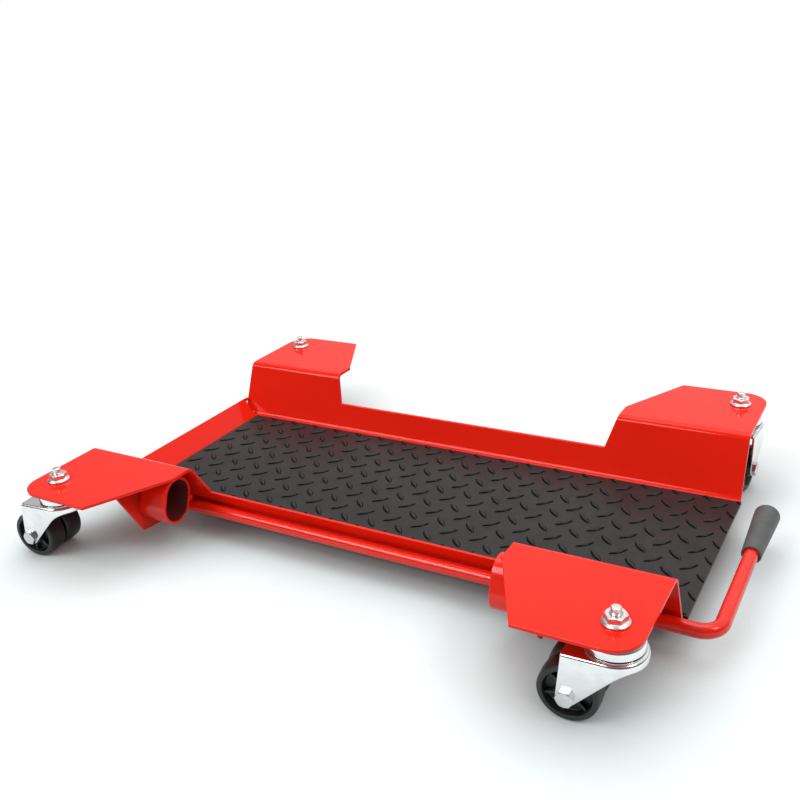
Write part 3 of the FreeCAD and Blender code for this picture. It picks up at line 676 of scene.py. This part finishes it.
def add_fork(name, place):
    """The fork: a pressed hood with a round nose and two legs down to the axle."""
    mesh_code = bmesh.new()
    columns = []
    for x, y, out_x, out_y in fork_columns():
        column = []
        for step in range(FORK_EDGE_STEPS + 1):
            turn = math.pi / 2 * (1 - step / FORK_EDGE_STEPS)
            inset = FORK_ROUND * (1 - math.cos(turn))
            drop = FORK_ROUND * (1 - math.sin(turn))
            column.append((x - out_x * inset, y - out_y * inset, FORK_TOP - drop))
        # The leg spreads a little to the rear on its way down
        foot = x * (TRAIL + FORK_TIP) / FORK_END if x > 0 else x
        side_top, bottom = FORK_TOP - FORK_ROUND, leg_bottom(foot)
        for row in LEG_ROWS:
            column.append((x + (foot - x) * row, y, side_top + (bottom - side_top) * row))
        columns.append([mesh_code.verts.new(place @ Vector(point)) for point in column])
    for left, right in zip(columns, columns[1:]):
        for k in range(len(left) - 1):
            mesh_code.faces.new((left[k], left[k + 1], right[k + 1], right[k]))
    mesh_code.faces.new([column[0] for column in columns])
    obj = piece(f"{name}_fork_shell", mesh_code, ZINC, f"{name}_swivel", [f"{name}_fork"], sharp=50)
    thick = obj.modifiers.new("thickness", "SOLIDIFY")
    thick.thickness = FORK_THK * MM
    thick.offset = -1
    thick.use_even_offset = True
    bevel = obj.modifiers.new("bevel", "BEVEL")
    bevel.width = FORK_BEVEL * MM
    bevel.segments = 2
    bevel.limit_method = "ANGLE"
    bevel.angle_limit = math.radians(50)


RACE_R, RACE_TOP_R, RACE_BORE, RACE_HOLLOW_R = 23.0, 18.0, 5.05, 21.4
RACE_UNDER, CUP_TOP, CUP_FLOOR = -15.5, -16.7, -17.6


def add_head(name, place):
    """The swivel head: the fixed upper race and the fork's cup under it."""
    upper = softened([(RACE_BORE, 0, 0), (RACE_TOP_R, 0, 0.8), (19.0, -5.0, 3.0),
                      (RACE_R - 0.6, -9.0, 2.0), (RACE_R, -11.5, 1.6), (RACE_R, RACE_UNDER, 1.4),
                      (RACE_HOLLOW_R, RACE_UNDER, 0), (RACE_HOLLOW_R, RACE_UNDER + 2, 0),
                      (RACE_BORE, RACE_UNDER + 2, 0)])
    mesh_code = bmesh.new()
    lathe(mesh_code, upper, place, 96)
    piece(f"{name}_race_cap", mesh_code, ZINC, "frame", [f"{name}_upper_race"])
    cup = softened([(RACE_BORE, FORK_TOP - 0.5, 0), (RACE_R - 0.2, FORK_TOP - 0.5, 0),
                    (RACE_R - 0.2, CUP_TOP, 0.3), (18.0, CUP_TOP, 0.2), (17.8, CUP_FLOOR, 0),
                    (RACE_BORE, CUP_FLOOR, 0)])
    mesh_code = bmesh.new()
    lathe(mesh_code, cup, place, 96)
    piece(f"{name}_cup", mesh_code, ZINC, f"{name}_swivel")


STEM_R, STEM_TOP = 5.0, 17.0
STEM_HEAD_R, STEM_HEAD_FLAT_R, STEM_HEAD_TOP = 8.5, 6.5, -19.75
STEM_HEAD_EDGE, STEM_HEAD_THK = 3.0, 4.5
POINT_R, POINT_FOOT, POINT_DOME, DOME_STEPS = 4.1, 11.6, 1.1, 6
THREAD_PITCH, THREAD_DEPTH, THREAD_START = 1.5, 0.45, 2.0


def add_stem(name, place):
    """The stem: a headed stud with a rolled thread and a smooth point."""
    segments, rows_per_turn = 48, 8
    mesh_code = bmesh.new()

    def ring(height, radius_at):
        return [mesh_code.verts.new(place @ polar(radius_at(a), a, height)) for a in around(segments)]

    def plain(radius):
        return lambda angle: radius

    def thread(height):
        def radius(angle):
            phase = (height / THREAD_PITCH - angle / (2 * math.pi)) % 1.0
            return STEM_R - THREAD_DEPTH * abs(2 * phase - 1)
        return radius

    head_under = STEM_HEAD_TOP - STEM_HEAD_THK
    shank = ((STEM_HEAD_FLAT_R, head_under), (STEM_HEAD_R, STEM_HEAD_TOP - STEM_HEAD_EDGE),
             (STEM_HEAD_R, STEM_HEAD_TOP), (STEM_R, STEM_HEAD_TOP), (STEM_R, THREAD_START))
    rings = [[mesh_code.verts.new(place @ Vector((0, 0, head_under)))]]
    rings += [ring(z, plain(r)) for r, z in shank]
    rows = int((POINT_FOOT - THREAD_START) / THREAD_PITCH * rows_per_turn)
    heights = [THREAD_START + k * THREAD_PITCH / rows_per_turn for k in range(1, rows)]
    rings += [ring(z, thread(z)) for z in heights]
    rings.append(ring(POINT_FOOT + 0.4, plain(POINT_R)))
    for step in range(DOME_STEPS):
        turn = math.pi / 2 * step / DOME_STEPS
        height = STEM_TOP - POINT_DOME * (1 - math.sin(turn))
        rings.append(ring(height, plain(POINT_R * math.cos(turn) ** 0.5)))
    rings.append([mesh_code.verts.new(place @ Vector((0, 0, STEM_TOP)))])
    skin(mesh_code, rings, closed=False)
    piece(f"{name}_stud", mesh_code, NUT_ZINC, "frame", [f"{name}_stem"], sharp=40)


NUT_FLATS, NUT_BORE, NUT_FLANGE_R = 16.0, 5.1, 11.0
NUT_BOTTOM, NUT_CONE, NUT_TOP = 3.0, 6.4, 11.0
NUT_TURN = {"near_left": 54, "near_right": 12, "far_left": 22, "far_right": 40}


def add_stem_nut(name):
    """The flange nut that holds the stem on top of the wing, at its own turn."""
    place = stem_frame(name, math.radians(NUT_TURN[name]))
    mesh_code = bmesh.new()
    hex_head(mesh_code, NUT_FLATS, NUT_BOTTOM + 1.5, NUT_TOP, place, bore=NUT_BORE)
    flange = softened([(NUT_BORE, NUT_BOTTOM, 0), (NUT_FLANGE_R, NUT_BOTTOM, 0.5),
                       (NUT_FLANGE_R, NUT_BOTTOM + 1.6, 0.6), (8.6, NUT_CONE, 1.5),
                       (NUT_BORE, NUT_CONE, 0)])
    lathe(mesh_code, flange, place, 72)
    piece(f"{name}_flange_nut", mesh_code, NUT_ZINC, "frame", [f"{name}_stem_nut"], sharp=25)


AXLE_R, AXLE_FLATS, AXLE_HEAD, AXLE_NUT, AXLE_OUT = 4.0, 13.0, 4.0, 6.0, 1.5


def add_axle(name, place):
    """The axle bolt with its head on the outer side, and its nut."""
    outward = place @ Matrix.Translation((TRAIL, 0, AXLE_Z)) @ Matrix.Rotation(math.radians(-90), 4, "X")
    mesh_code = bmesh.new()
    hex_head(mesh_code, AXLE_FLATS, FORK_HALF, FORK_HALF + AXLE_HEAD, outward)
    end = FORK_HALF + AXLE_NUT + AXLE_OUT
    root = FORK_HALF + 1
    shank = [(0, -end), (AXLE_R - 0.8, -end), (AXLE_R, -end + 0.8), (AXLE_R, root), (0, root)]
    lathe(mesh_code, shank, outward, 48)
    body = f"{name}_swivel"
    piece(f"{name}_axle_pin", mesh_code, BOLT_ZINC, body, [f"{name}_axle_bolt"], sharp=25)
    mesh_code = bmesh.new()
    inward = place @ Matrix.Translation((TRAIL, 0, AXLE_Z)) @ Matrix.Rotation(math.radians(90), 4, "X")
    hex_head(mesh_code, AXLE_FLATS, FORK_HALF, FORK_HALF + AXLE_NUT, inward, AXLE_R + 0.05, both_ends=True)
    piece(f"{name}_axle_locknut", mesh_code, BOLT_ZINC, body, [f"{name}_axle_nut"], sharp=25)


WHEEL_R, HUB_R, HUB_BORE = 25.0, 9.5, 6.05
WHEEL_IN, WHEEL_OUT, HUB_IN, HUB_OUT = 1.25, 21.85, 0.15, 22.6
RIM_IN, DISH = 19.0, 14.85
RIBS, RIB_TURN, RIB_HALF, RIB_HEIGHT, RIB_SUNK = 6, 0.3, 1.0, 4.2, 0.5


def add_wheel(name, word, side, place):
    """A moulded wheel: crowned tread, raised rim ring, dished web with radial ribs, long hub."""
    outward = (place @ Matrix.Translation((TRAIL, 0, AXLE_Z))
               @ Matrix.Rotation(math.radians(-90 * side), 4, "X"))
    middle = (WHEEL_IN + WHEEL_OUT) / 2
    profile = softened([
        (HUB_BORE, HUB_IN, 0), (HUB_R, HUB_IN, 0.4), (HUB_R + 0.2, WHEEL_IN + 1.5, 1.0),
        (17, WHEEL_IN + 1.5, 0.6), (18, WHEEL_IN, 0.8), (WHEEL_R - 1.0, WHEEL_IN, 5.0),
        (WHEEL_R - 0.2, WHEEL_IN + 6, 4),
        (WHEEL_R, middle, 8), (WHEEL_R - 0.2, WHEEL_OUT - 5, 3), (WHEEL_R - 0.5, WHEEL_OUT, 4.2),
        (RIM_IN + 0.8, WHEEL_OUT, 0.9), (RIM_IN - 0.2, DISH + 0.2, 1.2), (HUB_R + 0.4, DISH, 1.2),
        (HUB_R - 0.2, HUB_OUT, 0.8), (HUB_BORE, HUB_OUT, 0),
    ], 5)
    mesh_code = bmesh.new()
    lathe(mesh_code, profile, outward, 96)
    for angle in around(RIBS):
        box_block(mesh_code, (HUB_R - 0.6, -RIB_HALF, DISH - RIB_SUNK),
                  (RIM_IN + 0.6, RIB_HALF, DISH + RIB_HEIGHT),
                  outward @ Matrix.Rotation(angle + RIB_TURN, 4, "Z"))
    node = f"{name}_{word}_wheel"
    piece(f"{node}_moulding", mesh_code, WHEEL, node, [node], sharp=40)


add_grip()
for castor in CASTORS:
    local = castor_frame(castor)
    add_fork(castor, local)
    add_head(castor, local)
    add_stem(castor, local)
    add_stem_nut(castor)
    add_axle(castor, local)
    for word, side in (("inner", -1), ("outer", 1)):
        add_wheel(castor, word, side, local)
    finish_node(f"{castor}_seal", SEAL)
    finish_node(f"{castor}_balls", BALL_STEEL)
    finish_node(f"{castor}_axle_sleeve", ZINC)

# Floor, light and background

FLOOR_Z = -0.0245
FLOOR_RADIUS = 60.0
FLOOR_COLOUR = (0.20, 0.34, 0.34, 1)
FLOOR_GLOW, SHADE_REACH, SHADE_DEPTH = (0.83, 0.71, 0.71, 1), 0.115, 1.3
GLOW_ON_MATT = 0.65


def add_floor():
    """A pale floor that glows, with a painted shadow where something stands close over it, and glows less
    onto matt surfaces.
    """
    mesh_code = bmesh.new()
    bmesh.ops.create_circle(mesh_code, cap_ends=True, radius=FLOOR_RADIUS, segments=96,
                            matrix=Matrix.Translation((0, 0, FLOOR_Z)))
    mesh = bpy.data.meshes.new("floor")
    mesh_code.to_mesh(mesh)
    mesh_code.free()
    floor = bpy.data.objects.new("floor", mesh)
    bpy.context.scene.collection.objects.link(floor)
    material = bpy.data.materials.new("floor")
    material.use_nodes = True
    tree = material.node_tree
    tree.nodes.clear()
    diffuse = tree.nodes.new("ShaderNodeBsdfDiffuse")
    diffuse.inputs["Color"].default_value = FLOOR_COLOUR
    # Painted shadow: the glow fades where ambient occlusion finds the dolly close overhead
    shade = tree.nodes.new("ShaderNodeAmbientOcclusion")
    shade.inputs["Distance"].default_value = SHADE_REACH
    fall = maths(tree, "POWER", shade.outputs["AO"], SHADE_DEPTH)
    glow = tree.nodes.new("ShaderNodeEmission")
    glow.inputs["Color"].default_value = FLOOR_GLOW
    path = tree.nodes.new("ShaderNodeLightPath")
    seen = maths(tree, "MAXIMUM", path.outputs["Is Camera Ray"], path.outputs["Is Glossy Ray"])
    share = maths(tree, "MAXIMUM", seen, GLOW_ON_MATT)
    tree.links.new(maths(tree, "MULTIPLY", fall, share), glow.inputs["Strength"])
    total = tree.nodes.new("ShaderNodeAddShader")
    tree.links.new(diffuse.outputs[0], total.inputs[0])
    tree.links.new(glow.outputs[0], total.inputs[1])
    output = tree.nodes.new("ShaderNodeOutputMaterial")
    tree.links.new(total.outputs[0], output.inputs["Surface"])
    mesh.materials.append(material)


SKY_LOW, SKY_HIGH = 0.15, 1.0
SKY_START, SKY_FULL = 0.38, 0.85
SKY_MIDDLE = (0.08, 0.58, 0.81)


def add_world():
    """A studio that is bright overhead and behind, dim on the camera's side, with a white backdrop."""
    world = bpy.data.worlds.new("studio")
    bpy.context.scene.world = world
    world.use_nodes = True
    tree = world.node_tree
    direction = tree.nodes.new("ShaderNodeTexCoord")
    tilt = tree.nodes.new("ShaderNodeVectorMath")
    tilt.operation = "DOT_PRODUCT"
    tilt.inputs[1].default_value = SKY_MIDDLE
    tree.links.new(direction.outputs["Generated"], tilt.inputs[0])
    sky = tree.nodes.new("ShaderNodeMapRange")
    sky.inputs["From Min"].default_value = SKY_START
    sky.inputs["From Max"].default_value = SKY_FULL
    sky.inputs["To Min"].default_value = SKY_LOW
    sky.inputs["To Max"].default_value = SKY_HIGH
    tree.links.new(tilt.outputs["Value"], sky.inputs["Value"])
    path = tree.nodes.new("ShaderNodeLightPath")
    seen = maths(tree, "MAXIMUM", sky.outputs["Result"], path.outputs["Is Camera Ray"])
    background = tree.nodes["Background"]
    background.inputs["Color"].default_value = (1, 1, 1, 1)
    tree.links.new(seen, background.inputs["Strength"])


def add_sun(name, strength, spread, direction):
    """A wide soft light that shines along a direction, with its spread in degrees."""
    data = bpy.data.lights.new(name, "SUN")
    data.energy = strength
    data.angle = math.radians(spread)
    sun = bpy.data.objects.new(name, data)
    sun.rotation_mode = "QUATERNION"
    sun.rotation_quaternion = Vector(direction).to_track_quat("-Z", "Y")
    bpy.context.scene.collection.objects.link(sun)


add_camera()
add_floor()
add_world()
add_sun("top", strength=0.7, spread=40, direction=(0.10, -0.25, -1.0))
add_sun("front", strength=1.45, spread=30, direction=(0.42, 0.60, -0.68))
add_sun("side", strength=0.65, spread=20, direction=(-0.64, 0.03, -0.77))
bpy.context.scene.view_settings.view_transform = "Standard"
